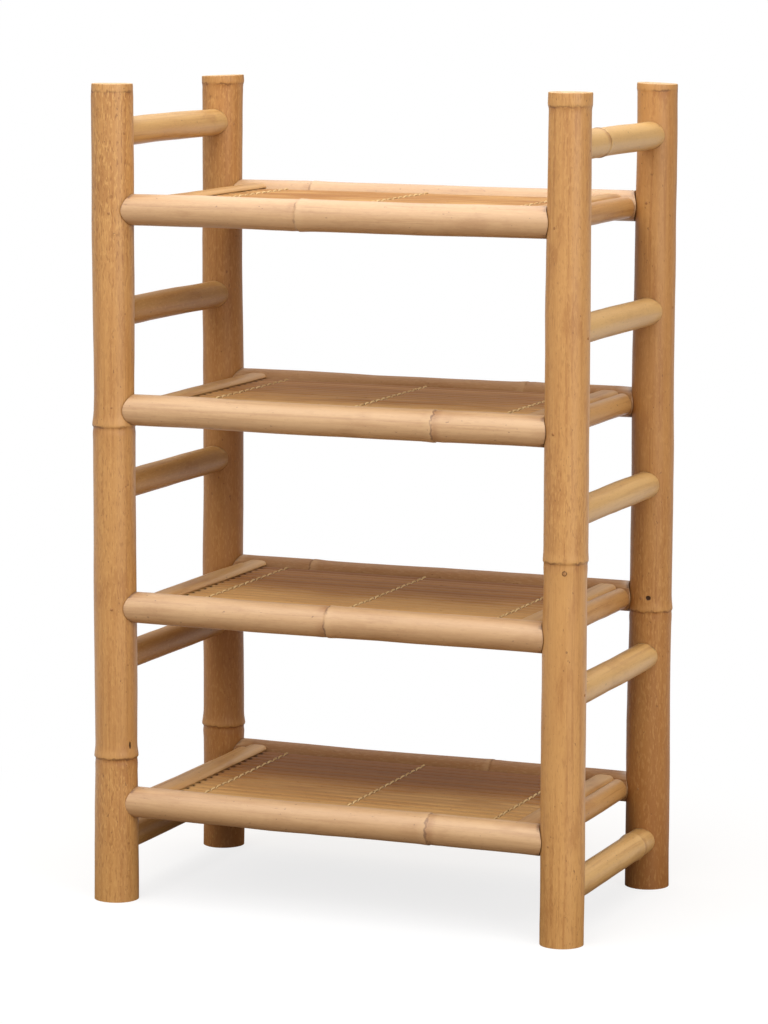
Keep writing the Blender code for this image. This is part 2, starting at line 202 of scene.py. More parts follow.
def colour(words, default):
    """A colour in linear light."""
    return bpy.props.FloatVectorProperty(
        description=words, default=default, min=0.0, max=1.0, size=3, subtype="COLOR")


def angle(words, degrees):
    """A turn, given in degrees."""
    return bpy.props.FloatProperty(description=words, default=radians(degrees), subtype="ANGLE")


def number(words, default):
    """A plain number."""
    return bpy.props.FloatProperty(description=words, default=default, min=0.0)


class RackSizes(bpy.types.PropertyGroup):
    """Sizes of the rack's pieces that the frame's boxes don't give."""
    post_foot_radius: length("Radius of a post at the floor", 0.0260)
    post_top_radius: length("Radius of a post at its cut top", 0.0248)
    post_wall: length("Thickness of a post's wall", 0.0065)
    post_rounding: length("Worn rounding of a post's top edge", 0.0010)
    rail_radius: length("Radius of the shelf rails", 0.0180)
    rung_radius: length("Radius of the ladder rungs", 0.0162)
    end_rail_radius: length("Radius of the end rails", 0.0126)
    end_rail_drop: length("How far the end rails lie below the middle of the rails", 0.0013)
    cope_gap: length("Gap between a coped end and the culm it meets", 0.0003)
    ring_spacing: length("Distance between rings along a culm", 0.0220)
    wander: length("How far a culm strays from a straight line", 0.0004)
    unevenness: length("Height of the dents in a culm's skin", 0.0011)
    slat_gap: length("Gap between neighbouring slats", 0.0006)
    slat_thickness: length("Thickness of a slat", 0.0050)
    slat_crown: length("Height of a slat's rounded top", 0.0011)
    end_notch: length("Length of the nicks in a slat's sides by the battens", 0.0070)
    lacing_notch: length("Length of the nicks in a slat's sides by the twine", 0.0050)
    batten_crown: length("Height of a batten's rounded top", 0.0040)
    batten_reach: length("How far a batten is drawn out to be coped to the rails", 0.0060)
    batten_lap: length("How far a batten laps over its end rail", 0.0055)
    twine_radius: length("Radius of the twisted lacing twine", 0.0012)
    twine_dip: length("How far the twine dips between two slats", 0.0034)
    twine_lay: length("Length of one turn of the twine's strands", 0.0060)
    pin_radius: length("Radius of the pins in the tenons", 0.0016)


class RackColours(bpy.types.PropertyGroup):
    """Colours of the bamboo and the twine, in linear light."""
    post: colour("Skin of the posts", (0.455, 0.222, 0.066))
    rail: colour("Skin of the shelf rails", (0.470, 0.268, 0.122))
    rung: colour("Skin of the ladder rungs", (0.510, 0.285, 0.095))
    end_rail: colour("Skin of the end rails", (0.470, 0.240, 0.078))
    slat: colour("Faces of the slats", (0.455, 0.234, 0.080))
    batten: colour("Faces of the battens", (0.480, 0.255, 0.086))
    bearer: colour("Faces of the bearers", (0.420, 0.225, 0.080))
    twine: colour("Lacing twine", (0.660, 0.460, 0.220))
    pin: colour("Heads of the tenon pins", (0.330, 0.155, 0.052))
    end_grain: colour("Cut ends of the culms", (0.660, 0.470, 0.270))
    # marks real node lines and specks, and also paints the shade inside branch holes and in the slats' nicks
    scar: colour("Node lines, specks and holes", (0.120, 0.048, 0.016))


class RackStage(bpy.types.PropertyGroup):
    """Camera, lights and floor."""
    azimuth: angle("Camera's turn to the right of the rack's front", 21.98)
    pitch: angle("Camera's downward tilt", 8.287)
    roll: angle("Camera's turn about its own line of sight", 0.227)
    distance: length("Camera's distance from the rack", 4.582)
    lens: number("Focal length in millimetres", 138.3)
    ambient_front: number("Strength of the white surroundings before the rack", 0.70)
    ambient_back: number("Strength of the white surroundings behind the rack", 0.35)
    ambient_top: number("Strength added straight above the rack", 1.05)
    haze: number("Strength added above and behind the rack, in reflections alone", 2.4)
    ambient_tint: colour("Colour of the surroundings behind the rack", (1.0, 0.85, 0.70))
    softbox: number("Power of the overhead softbox in watts", 28.0)
    front_fill: number("Power of the broad light at the front in watts", 20.0)
    right_fill: number("Power of the broad light at the right in watts", 72.0)
    floor_shadow: number("Share of the near floor that shows light and shadow", 0.22)
    floor_bounce: colour("Light that the floor throws back", (0.240, 0.175, 0.115))


# Material nodes

class Wire:
    """One output socket of a node tree. Arithmetic on wires adds Math nodes to their tree."""

    def __init__(self, finish, socket):
        self.finish = finish
        self.socket = socket

    def math(self, operation, left, right):
        return self.finish.node("ShaderNodeMath", {"operation": operation}, {0: left, 1: right})

    def __add__(self, other):
        return self.math("ADD", self, other)

    def __radd__(self, other):
        return self.math("ADD", other, self)

    def __sub__(self, other):
        return self.math("SUBTRACT", self, other)

    def __rsub__(self, other):
        return self.math("SUBTRACT", other, self)

    def __mul__(self, other):
        return self.math("MULTIPLY", self, other)

    def __abs__(self):
        return self.math("ABSOLUTE", self, 0.0)


class Finish:
    """A material or world under construction, whose nodes are added by calls."""

    def __init__(self, owner):
        owner.use_nodes = True
        self.owner = owner
        self.tree = owner.node_tree
        self.tree.nodes.clear()

    def node(self, kind, settings=None, inputs=None, output=0):
        """Adds a node: its settings first, then values or wires for its sockets."""
        made = self.tree.nodes.new(kind)
        for name, value in (settings or {}).items():
            setattr(made, name, value)
        for key, value in (inputs or {}).items():
            socket = made.inputs[key]
            if isinstance(value, Wire):
                self.tree.links.new(value.socket, socket)
            elif socket.type == "RGBA":
                socket.default_value = (*value, 1.0)
            else:
                socket.default_value = value
        return Wire(self, made.outputs[output]) if made.outputs else made

    def stretched(self, axis, across, along, shift):
        """Object coordinates scaled to draw a pattern out along one axis."""
        scale = [across, across, across]
        scale[axis] = along
        place = self.node("ShaderNodeTexCoord", output="Object")
        return self.node(
            "ShaderNodeVectorMath", {"operation": "MULTIPLY_ADD"}, {0: place, 1: scale, 2: (shift,) * 3})

    def noise(self, axis, across, along, shift, detail=2.0):
        """Noise whose patches are drawn out along one axis."""
        vector = self.stretched(axis, across, along, shift)
        return self.node("ShaderNodeTexNoise", {}, {"Vector": vector, "Scale": 1.0, "Detail": detail})

    def rise(self, value, low, high):
        """A smooth step from 0 to 1 between two values."""
        return self.node(
            "ShaderNodeMapRange", {"interpolation_type": "SMOOTHSTEP"},
            {"Value": value, "From Min": low, "From Max": high, "To Min": 0.0, "To Max": 1.0})

    def mix(self, factor, first, second):
        """A mix of two colours."""
        return self.node("ShaderNodeMix", {"data_type": "RGBA"}, {0: factor, 6: first, 7: second}, 2)

    def attribute(self, name):
        """A number that the mesh carries at its points."""
        return self.node("ShaderNodeAttribute", {"attribute_name": name}, output="Fac")

    def bump(self, height, strength, distance):
        """A normal that follows a height."""
        return self.node(
            "ShaderNodeBump", {}, {"Height": height, "Strength": strength, "Distance": distance})

    def principled(self, sockets):
        """Ends a material with its shader."""
        shader = self.node("ShaderNodeBsdfPrincipled", {}, sockets)
        self.node("ShaderNodeOutputMaterial", {}, {"Surface": shader})
        return self.owner


def tinted(base, red, green, blue):
    """A colour with its channels scaled."""
    return tuple(min(1.0, value * share) for value, share in zip(base, (red, green, blue)))


def paler(base):
    """The straw tone of a bamboo colour."""
    return tinted(base, 1.22, 1.36, 1.48)


def deeper(base):
    """The reddish brown tone of a bamboo colour."""
    return tinted(base, 0.70, 0.58, 0.46)


def bamboo_finish(name, axis, base, scar, seed, gloss=0.42, coat=0.4, coat_index=1.5, shine=0.35,
                  seam=0.65, stain=0.0):
    """Lacquered bamboo skin with fibres along one axis, specks, marks at the culm's nodes, and painted light
    and shade.
    """
    finish = Finish(bpy.data.materials.new(name))
    pale = paler(base)
    deep = deeper(base)
    flecks = finish.attribute("flecks")
    broad = finish.noise(axis, 9.0, 3.0, seed)
    blotch = finish.noise(axis, 46.0, 15.0, seed + 3.0, 3.0)
    streak = finish.noise(axis, 210.0, 6.0, seed + 7.0, 3.0)
    fibre = finish.noise(axis, 800.0, 16.0, seed + 11.0)
    flake = finish.rise(finish.noise(axis, 480.0, 130.0, seed + 13.0), 0.52, 0.64) * flecks
    dash = finish.rise(finish.noise(axis, 500.0, 110.0, seed + 15.0), 0.55, 0.66) * flecks
    ragged = finish.noise(axis, 170.0, 170.0, seed + 19.0)
    speck = finish.rise(finish.noise(axis, 330.0, 170.0, seed + 17.0, 1.0), 0.72, 0.78)
    pool = finish.noise(axis, 17.0, 6.0, seed + 23.0)
    # tone: how pale or deep a piece is; beside the pieces' own tone it carries painted light (paler) and
    # painted shade (deeper) on the back posts, rails, rungs and slats, and the coat thins where the painted
    # shade is deep
    tone = finish.attribute("tone")
    depth = 0.0 - tone
    gap = finish.attribute("node_gap")
    side = finish.attribute("node_side")
    near = 1.0 - finish.rise(gap, 0.003, 0.013)
    wax = near * finish.rise(side, 0.0, -1.0)
    band = near * finish.rise(side, 0.0, 1.0)
    line = abs(gap * side + (ragged - 0.5) * 0.007)
    crack = (1.0 - finish.rise(line, 0.0002, 0.0018)) * near * finish.rise(blotch, 0.34, 0.60)
    skin = base
    for mask, share, shade in (
            (finish.rise(broad, 0.38, 0.66), 0.55, pale),
            (finish.rise(streak, 0.46, 0.72), 0.65, deep),
            (finish.rise(fibre, 0.50, 0.74), 0.45, pale),
            (finish.rise(blotch, 0.52, 0.70), 0.55, deep),
            (finish.rise(pool, 0.48, 0.62), stain, deep),
            # painted light and painted shade, from the tone that the piece carries
            (tone, 1.0, pale),
            (depth, 1.0, deep),
            # the deepest tones darken further to a red brown, as painted shade
            (finish.rise(depth, 0.7, 1.3), 0.85, tinted(deep, 0.62, 0.54, 0.46)),
            (wax * streak, 0.6, pale),
            (band * finish.rise(blotch, 0.36, 0.60), 0.75, deep),
            (flake, 0.85, pale),
            (dash, 0.60, tinted(deep, 0.75, 0.70, 0.65)),
            (speck, 0.55, scar),
            (crack, seam, scar),
            # painted shade, near black, in the nicks of the slats by the battens
            (finish.attribute("grime"), 1.0, tinted(scar, 0.25, 0.25, 0.25)),
    ):
        skin = finish.mix(mask * share, skin, shade)
    height = fibre * 0.4 + streak * 0.4 + flake * 0.4 - dash * 0.4 - speck * 0.6 - crack * 0.5
    return finish.principled({
        "Base Color": skin,
        "Roughness": gloss + fibre * 0.14 + crack * 0.2,
        "Specular IOR Level": shine,
        "Coat Weight": (1.0 - finish.rise(depth, 0.0, 0.5)) * coat,
        "Coat Roughness": gloss,
        "Coat IOR": coat_index,
        "Normal": finish.bump(height, 0.35, 0.0006),
    })


def end_grain_finish(base, scar):
    """A sawn end: straw coloured, with the dark dots of the fibre bundles."""
    finish = Finish(bpy.data.materials.new("end_grain"))
    cloud = finish.noise(Z_AXIS, 130.0, 130.0, 2.0)
    cells = finish.node(
        "ShaderNodeTexVoronoi", {}, {"Vector": finish.stretched(Z_AXIS, 1.0, 1.0, 0.0), "Scale": 900.0})
    bundle = 1.0 - finish.rise(cells, 0.18, 0.42)
    face = finish.mix(finish.rise(cloud, 0.4, 0.7) * 0.5, base, deeper(base))
    face = finish.mix(bundle * 0.45, face, scar)
    return finish.principled({
        "Base Color": face,
        "Roughness": 0.62 + cloud * 0.2,
        "Normal": finish.bump(cloud - bundle * 0.5, 0.3, 0.0004),
    })


def twine_finish(base):
    """Dry twisted fibre."""
    finish = Finish(bpy.data.materials.new("lacing_twine"))
    fuzz = finish.noise(Y_AXIS, 1600.0, 500.0, 5.0, 3.0)
    stain = finish.noise(Y_AXIS, 70.0, 45.0, 9.0)
    thread = finish.mix(finish.rise(stain, 0.40, 0.68) * 0.7, base, deeper(base))
    thread = finish.mix(finish.rise(fuzz, 0.5, 0.75) * 0.5, thread, paler(base))
    return finish.principled({
        "Base Color": thread,
        "Roughness": 0.70 + fuzz * 0.2,
        "Normal": finish.bump(fuzz, 0.5, 0.0003),
    })


def hole_finish(scar):
    """The inside of a branch hole, painted near black as shade."""
    finish = Finish(bpy.data.materials.new("dark_hole"))
    # noise that mottles the painted shade
    grime = finish.noise(Z_AXIS, 700.0, 700.0, 4.0)
    shade = finish.mix(grime, tinted(scar, 0.35, 0.35, 0.35), scar)
    return finish.principled({"Base Color": shade, "Roughness": 0.75 + grime * 0.2})


# Modelling

Ring = namedtuple("Ring", "place radius x y")


def fresh_piece(name, primitive, **settings):
    """Adds a primitive with nothing else selected."""
    bpy.ops.object.select_all(action="DESELECT")
    primitive(**settings)
    piece = bpy.context.object
    piece.name = name
    piece.data.name = name
    return piece


def choose(*pieces):
    """Selects pieces and makes the first one active."""
    bpy.ops.object.select_all(action="DESELECT")
    for piece in pieces:
        piece.select_set(True)
    bpy.context.view_layer.objects.active = pieces[0]


def pick(piece, kind, wanted):
    """In edit mode, selects the points, edges or faces that pass a test."""
    bpy.ops.mesh.select_mode(type=kind)
    bpy.ops.mesh.select_all(action="DESELECT")
    mesh = bmesh.from_edit_mesh(piece.data)
    for item in {"VERT": mesh.verts, "EDGE": mesh.edges, "FACE": mesh.faces}[kind]:
        if wanted(item):
            item.select_set(True)
    bmesh.update_edit_mesh(piece.data)


def looks_up(face):
    """Whether a face is the flat top of a piece."""
    return face.normal.z > 0.9


def turn_out():
    """In edit mode, points all faces outwards."""
    bpy.ops.mesh.select_all(action="SELECT")
    bpy.ops.mesh.normals_make_consistent(inside=False)


def put(piece, place, turn=(0.0, 0.0, 0.0)):
    """Turns a piece, moves it, and keeps its place in its mesh."""
    piece.rotation_euler = turn
    piece.location = place
    choose(piece)
    bpy.ops.object.transform_apply(location=True, rotation=True, scale=True)


def dent(piece, height, size):
    """Makes a skin gently uneven."""
    clouds = bpy.data.textures.get("skin_clouds") or bpy.data.textures.new("skin_clouds", "CLOUDS")
    clouds.noise_scale = size
    uneven = piece.modifiers.new("uneven", "DISPLACE")
    uneven.texture = clouds
    uneven.texture_coords = "LOCAL"
    uneven.strength = height
    choose(piece)
    bpy.ops.object.modifier_apply(modifier=uneven.name)


def cut(piece, tool):
    """Cuts a piece with another and gives the cut faces the tool's material."""
    cope = piece.modifiers.new("cope", "BOOLEAN")
    cope.operation = "DIFFERENCE"
    cope.solver = "EXACT"
    cope.material_mode = "TRANSFER"
    cope.object = tool
    choose(piece)
    bpy.ops.object.modifier_apply(modifier=cope.name)


def joined(name, pieces):
    """Joins pieces into one object."""
    choose(*pieces)
    bpy.ops.object.join()
    whole = bpy.context.object
    whole.name = name
    whole.data.name = name
    return whole


def copied(piece):
    """A copy of a piece with its own mesh."""
    twin = piece.copy()
    twin.data = piece.data.copy()
    bpy.context.scene.collection.objects.link(twin)
    return twin


def carry(piece, name, values):
    """Stores a number at every point of a piece: its own, or the same for all."""
    store = piece.data.attributes.get(name) or piece.data.attributes.new(name, "FLOAT", "POINT")
    store.data.foreach_set("value", np.full(len(piece.data.vertices), values, dtype=np.float32))


def points(piece):
    """The places of a piece's points."""
    flat = np.zeros(len(piece.data.vertices) * 3)
    piece.data.vertices.foreach_get("co", flat)
    return flat.reshape(-1, 3)


def mark_nodes(piece, axis, nodes, growth):
    """Stores how far each point is from the nearest node, and on which side, the way the culm grew."""
    along = points(piece)[:, axis]
    nearest = np.full(len(along), FAR_FROM_NODE)
    side = np.zeros(len(along))
    for node in nodes:
        gap = growth * (along - node.place)
        near = np.abs(gap) < nearest
        nearest = np.where(near, np.abs(gap), nearest)
        side = np.where(near, np.clip(gap / NODE_LINE, -1.0, 1.0), side)
    carry(piece, "node_gap", nearest)
    carry(piece, "node_side", side)


def stand_for(piece, slot, *nodes):
    """Shades a finished piece and puts it on the rack, in the place of the CAD nodes that it stands for."""
    choose(piece)
    bpy.ops.object.shade_smooth_by_angle(angle=SHARP_ANGLE)
    if nodes:
        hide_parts(*nodes)
    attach(piece, BODY)


def middle(node):
    """The middle of a CAD node's box."""
    low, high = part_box(node)
    return (low + high) / 2


def shelf_nodes(sides, kind):
    """The nodes of one kind on every shelf: the shelf, the side and the node's name."""
    for shelf in SHELVES:
        for side in sides:
            yield shelf, side, f"shelf_{shelf}_{side}_{kind}"


def culm_radius(sizes, culm, height):
    """Radius of a post's culm between its nodes: its taper, its waists and the collar of its top."""
    low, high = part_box("front_left_post")
    share = height / (high.z - low.z)
    taper = sizes.post_foot_radius + (sizes.post_top_radius - sizes.post_foot_radius) * share
    above_collar = height - (high.z - low.z - culm.top.collar)
    flare = culm.top.flare * float(np.interp(above_collar, COLLAR_RISE, (0.0, 1.0)))
    return taper * float(np.interp(height, *zip(*culm.waists))) + flare


def culm_rings(sizes, start, end, radius_at, nodes, growth, seed):
    """Rings of a culm from start to end, closer together at its nodes."""
    swell = {}
    count = max(2, round((end - start) / sizes.ring_spacing))
    for step in range(count + 1):
        place = start + (end - start) * step / count
        if step in (0, count) or all(abs(place - node.place) > NODE_REACH for node in nodes):
            swell[place] = 0.0
    for node in nodes:
        for offset, added in NODE_OUTLINE:
            place = node.place + growth * offset
            if start < place < end:
                swell[place] = added * node.share
    draw = Random(seed)
    phases = [draw.uniform(0.0, 2 * pi) for _ in range(4)]
    rings = []
    for place in sorted(swell):
        slow = 2 * pi * place / SLOW_WAVE
        quick = 2 * pi * place / QUICK_WAVE
        x = sizes.wander * (sin(slow + phases[0]) + QUICK_SHARE * sin(quick + phases[1]))
        y = sizes.wander * (sin(slow + phases[2]) + QUICK_SHARE * sin(quick + phases[3]))
        rings.append(Ring(place, radius_at(place) + swell[place], x, y))
    return rings


def rounded_end(ring, rounding):
    """Rings that round a culm's end over, after the one given."""
    turns = [radians(step) for step in (25.0, 50.0, 75.0, 90.0)]
    return [
        Ring(ring.place + rounding * sin(turn), ring.radius - rounding * (1 - cos(turn)), ring.x, ring.y)
        for turn in turns
    ]


def grown_culm(name, rings, sides):
    """Extrudes a filled circle upwards, ring by ring."""
    last, *rest = rings
    piece = fresh_piece(
        name, bpy.ops.mesh.primitive_circle_add, vertices=sides, radius=last.radius, fill_type="NGON")
    bpy.ops.object.mode_set(mode="EDIT")
    bpy.ops.transform.translate(value=(last.x, last.y, last.place))
    for ring in rest:
        step = (ring.x - last.x, ring.y - last.y, ring.place - last.place)
        bpy.ops.mesh.extrude_region_move(TRANSFORM_OT_translate={"value": step})
        share = ring.radius / last.radius
        centre = (ring.x, ring.y, ring.place)
        bpy.ops.transform.resize(value=(share, share, 1.0), center_override=centre)
        last = ring
    turn_out()
    bpy.ops.object.mode_set(mode="OBJECT")
    return piece


def skin_point(sizes, corner, height, turn):
    """A point on a post's skin, its turn in degrees from the front, and the rotation of local Z out of it."""
    way = Vector((sin(radians(turn)), -cos(radians(turn)), 0.0))
    centre = middle(corner + "_post")
    radius = culm_radius(sizes, POST_CULMS[corner], height)
    place = Vector((centre.x, centre.y, height)) + way * radius
    return place, (0.0, pi / 2, atan2(way.y, way.x))


def hole_cutter(sizes, corner, hole):
    """A tapered plug that cuts a branch's hole into a post."""
    plug = fresh_piece(
        "plug", bpy.ops.mesh.primitive_cone_add, vertices=20, radius1=HOLE_TAPER, radius2=1.0,
        depth=HOLE_DEPTH)
    plug.scale = (hole.half_length, hole.half_width, 1.0)
    put(plug, *skin_point(sizes, corner, hole.height, hole.turn))
    # the hole's cut faces take the painted shade
    plug.data.materials.append(bpy.data.materials["dark_hole"])
    return plug


def pin_head(radius, place, turn):
    """A pin's domed end, sunk so that only its dome stands out of the skin."""
    head = fresh_piece(
        "pin", bpy.ops.mesh.primitive_cylinder_add, vertices=14, radius=radius, depth=PIN_DEPTH,
        location=(0.0, 0.0, -PIN_DEPTH / 2))
    bpy.ops.object.transform_apply(location=True, rotation=True, scale=True)
    bpy.ops.object.mode_set(mode="EDIT")
    pick(head, "FACE", looks_up)
    bpy.ops.mesh.inset(thickness=radius * DOME_EDGE, depth=DOME_HEIGHT)
    bpy.ops.object.mode_set(mode="OBJECT")
    put(head, place, turn)
    return head


def cutter(name, ghosts, colours):
    """Joins plain culms into one that cuts coped ends and leaves them sawn."""
    whole = joined(name, ghosts)
    whole.data.materials.append(cut_finish(colours))
    return whole


def ghost_posts(sizes, colours):
    """Plain tapered posts, a little too thick, to cut coped ends with."""
    ghosts = []
    for corner in POST_CULMS:
        low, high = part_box(corner + "_post")
        ghosts.append(fresh_piece(
            "ghost", bpy.ops.mesh.primitive_cone_add, vertices=64, depth=high.z - low.z,
            radius1=sizes.post_foot_radius + sizes.cope_gap, radius2=sizes.post_top_radius + sizes.cope_gap,
            location=middle(corner + "_post")))
    return cutter("ghost_posts", ghosts, colours)


def ghost_rails(sizes, colours):
    """Plain rails, a little too thick, to cut coped ends with."""
    ghosts = []
    for _, _, node in shelf_nodes(RAIL_PAINTED_SHADING, "rail"):
        low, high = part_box(node)
        ghosts.append(fresh_piece(
            "ghost", bpy.ops.mesh.primitive_cylinder_add, vertices=48, depth=high.x - low.x,
            radius=sizes.rail_radius + sizes.cope_gap, location=middle(node), rotation=(0.0, pi / 2, 0.0)))
    return cutter("ghost_rails", ghosts, colours)


def named_finish(name, make, *values, **settings):
    """A material, made on its first use."""
    return bpy.data.materials.get(name) or make(*values, **settings)


def cut_finish(colours):
    """The material of sawn ends."""
    return named_finish("end_grain", end_grain_finish, colours.end_grain, colours.scar)


def skin_finish(colours, name, axis, seed, **settings):
    """The bamboo skin of one group of pieces."""
    title = name + "_skin"
    return named_finish(
        title, bamboo_finish, title, axis, getattr(colours, name), colours.scar, seed, **settings)


def rack_settings(context):
    """The sizes and the colours of the rack's pieces."""
    return context.scene.rack_sizes, context.scene.rack_colours


def pole(sizes, node, slot, axis, growth, tone, seed, skin, tools, drop=0.0):
    """Makes a rail, rung or end rail, which runs from the middle of one crossing culm to the next."""
    far_post = "back_left_post" if axis == Y_AXIS else "front_right_post"
    reach = middle(far_post)[axis]
    radius = getattr(sizes, slot + "_radius")
    nodes = [POLE_NODES[node]] if node in POLE_NODES else []
    rings = culm_rings(sizes, -reach, reach, lambda place: radius, nodes, growth, seed)
    piece = grown_culm(node + "_culm", rings, POLE_SIDES)
    turn = (0.0, pi / 2, 0.0) if axis == X_AXIS else (-pi / 2, 0.0, 0.0)
    put(piece, middle(node) - Vector((0.0, 0.0, drop)), turn)
    dent(piece, sizes.unevenness, POLE_DENT)
    mark_nodes(piece, axis, nodes, growth)
    carry(piece, "flecks", POLE_FLECKS)
    # tone: the painted light and shade of a rail or rung, from the tables above; end rails take none
    carry(piece, "tone", tone)
    piece.data.materials.append(skin)
    for tool in tools:
        cut(piece, tool)
    stand_for(piece, slot, node)


# Operators

class RACK_OT_posts(bpy.types.Operator):
    """Model the four corner posts: culms cut just above a node, with an open foot"""
    bl_idname = "rack.posts"
    bl_label = "Corner Posts"

    def execute(self, context):
        sizes, colours = rack_settings(context)
        skin = skin_finish(colours, "post", Z_AXIS, 0.0)
        # material for the painted shade inside the branch holes
        named_finish("dark_hole", hole_finish, colours.scar)
        for seed, (corner, culm) in enumerate(POST_CULMS.items()):
            self.make_post(sizes, corner, culm, seed, skin, cut_finish(colours))
        return {"FINISHED"}

    def make_post(self, sizes, corner, culm, seed, skin, sawn):
        low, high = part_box(corner + "_post")
        height = high.z - low.z
        collar = height - culm.top.collar
        nodes = [*culm.nodes, Node(collar, TOP_NODE_SHARE)]
        bore = sizes.post_foot_radius - sizes.post_wall
        skin_rings = culm_rings(
            sizes, 0.0, height - sizes.post_rounding, lambda place: culm_radius(sizes, culm, place),
            nodes, POST_GROWTH, seed)
        foot = [Ring(culm.nodes[0].place - NODE_REACH, bore, 0.0, 0.0), Ring(0.0, bore, 0.0, 0.0)]
        top = rounded_end(skin_rings[-1], sizes.post_rounding)
        rim = top[-1]
        dish = [rim._replace(radius=rim.radius - sizes.post_wall * RIM_SHARE),
                rim._replace(radius=rim.radius - sizes.post_wall, place=rim.place - DISH_DEPTH)]
        post = grown_culm(corner + "_post_culm", foot + skin_rings + top + dish, POST_SIDES)
        bpy.ops.object.mode_set(mode="EDIT")
        pick(post, "FACE", lambda face: all(point.co.z > collar for point in face.verts))
        bpy.ops.transform.rotate(
            value=radians(culm.top.tilt), orient_axis="Y", center_override=(0.0, 0.0, height))
        bpy.ops.object.mode_set(mode="OBJECT")
        put(post, ((low.x + high.x) / 2, (low.y + high.y) / 2, low.z))
        post.data.materials.append(skin)
        post.data.materials.append(sawn)
        axis = middle(corner + "_post").xy
        sawn_radius = sizes.post_top_radius - sizes.post_wall * SAWN_SHARE
        for face in post.data.polygons:
            inside = (face.center.xy - axis).length < sawn_radius
            face.material_index = 1 if inside or abs(face.normal.z) > SAWN_NORMAL else 0
        dent(post, sizes.unevenness, POST_DENT)
        if corner in POST_HOLES:
            plug = hole_cutter(sizes, corner, POST_HOLES[corner])
            cut(post, plug)
            bpy.data.objects.remove(plug)
        mark_nodes(post, Z_AXIS, nodes, POST_GROWTH)
        carry(post, "flecks", np.interp(points(post)[:, Z_AXIS], *zip(*culm.flecks)))
        # the post's tones by height, with the painted shade of the back posts
        carry(post, "tone", np.interp(points(post)[:, Z_AXIS], *zip(*culm.tones)))
        stand_for(post, "post", corner + "_post")


class RACK_OT_rails(bpy.types.Operator):
    """Model the front and back rails, coped to the posts"""
    bl_idname = "rack.rails"
    bl_label = "Shelf Rails"

    def execute(self, context):
        sizes, colours = rack_settings(context)
        skin = skin_finish(colours, "rail", X_AXIS, 20.0, gloss=0.55, coat=1.0, coat_index=1.6, seam=0.75)
        ghosts = ghost_posts(sizes, colours)
        for shelf, side, node in shelf_nodes(RAIL_PAINTED_SHADING, "rail"):
            growth = 1 if shelf % 2 else -1
            # the painted light and shade of this rail
            tone = RAIL_PAINTED_SHADING[side][shelf - 1]
            pole(sizes, node, "rail", X_AXIS, growth, tone, 10 + shelf, skin, [ghosts])
        bpy.data.objects.remove(ghosts)
        return {"FINISHED"}


class RACK_OT_rungs(bpy.types.Operator):
    """Model the rungs of both side ladders, coped to the posts"""
    bl_idname = "rack.rungs"
    bl_label = "Ladder Rungs"

    def execute(self, context):
        sizes, colours = rack_settings(context)
        skin = skin_finish(colours, "rung", Y_AXIS, 40.0)
        ghosts = ghost_posts(sizes, colours)
        for side, tones in RUNG_PAINTED_SHADING.items():
            # the painted light and shade of this rung
            for rung, tone in zip(RUNGS, tones):
                growth = -1 if rung == RUNGS[-1] else 1
                node = f"{side}_rung_{rung}"
                pole(sizes, node, "rung", Y_AXIS, growth, tone, 30 + rung, skin, [ghosts])
        bpy.data.objects.remove(ghosts)
        return {"FINISHED"}


class RACK_OT_end_rails(bpy.types.Operator):
    """Model the end rails, coped to the shelf rails"""
    bl_idname = "rack.end_rails"
    bl_label = "End Rails"

    def execute(self, context):
        sizes, colours = rack_settings(context)
        skin = skin_finish(colours, "end_rail", Y_AXIS, 60.0)
        ghosts = [ghost_rails(sizes, colours), ghost_posts(sizes, colours)]
        for shelf, _, node in shelf_nodes(SIDE_WAYS, "end_rail"):
            pole(sizes, node, "end_rail", Y_AXIS, 1, 0.0, 50 + shelf, skin, ghosts, sizes.end_rail_drop)
        for whole in ghosts:
            bpy.data.objects.remove(whole)
        return {"FINISHED"}


SLAT_COUNT = 16
LATH_SEGMENTS = 14
LACED_SIDES = ("left", "middle", "right")

# How slats differ: shares of the full width and height, tilt in degrees, and spread of their tones
SLAT_WIDTHS, SLAT_HEIGHTS = (0.95, 1.0), (0.90, 1.0)
SLAT_TILT = 0.8
TONE_SPREAD = 0.20
BATTEN_TONE = 0.05

# Dents in the laths' faces: height and size
SLAT_DENTS, BATTEN_DENTS, BEARER_DENTS = (0.0005, 0.035), (0.0007, 0.03), (0.0004, 0.03)

# How pale or deep each slat is, from the front of a shelf to its back: partly the slats' own tone, mostly
# painted light at the front and painted shade further back under the shelf above
SLAT_TONES_AND_SHADE = (
    0.75, 0.70, 0.65, 0.55, 0.45, 0.30, 0.10, -0.10, -0.40, -0.65, -0.80, -0.75, -0.60, -0.70, -0.65, -0.75)

# How much paler or deeper than that the back of each mat is, from the floor up: painted shade on the lower
# mats under the shelves above them, and painted light on the top mat
MAT_PAINTED_SHADING = (-1.00, -0.30, 0.0, 1.00)

# A pair of nicks in a slat's sides: where along it, how long, and the share of its width that they take
Notch = namedtuple("Notch", "place length depth")
END_NOTCH_DEPTH, LACING_NOTCH_DEPTH = 0.36, 0.20

# The height from which a slat is nicked, how near to a nick's place its points are, and the share of half
# the slat's width from which they are painted dark as shade in the nick
NOTCH_FLOOR = 0.001
AT_PLACE = 0.0001
PAINTED_SHADE_SHARE = 0.3

# A lath's crown: shares of its height, and how much narrower the lath is after each
CROWN_STEPS = ((0.55, 0.86), (0.30, 0.78), (0.15, 0.60))


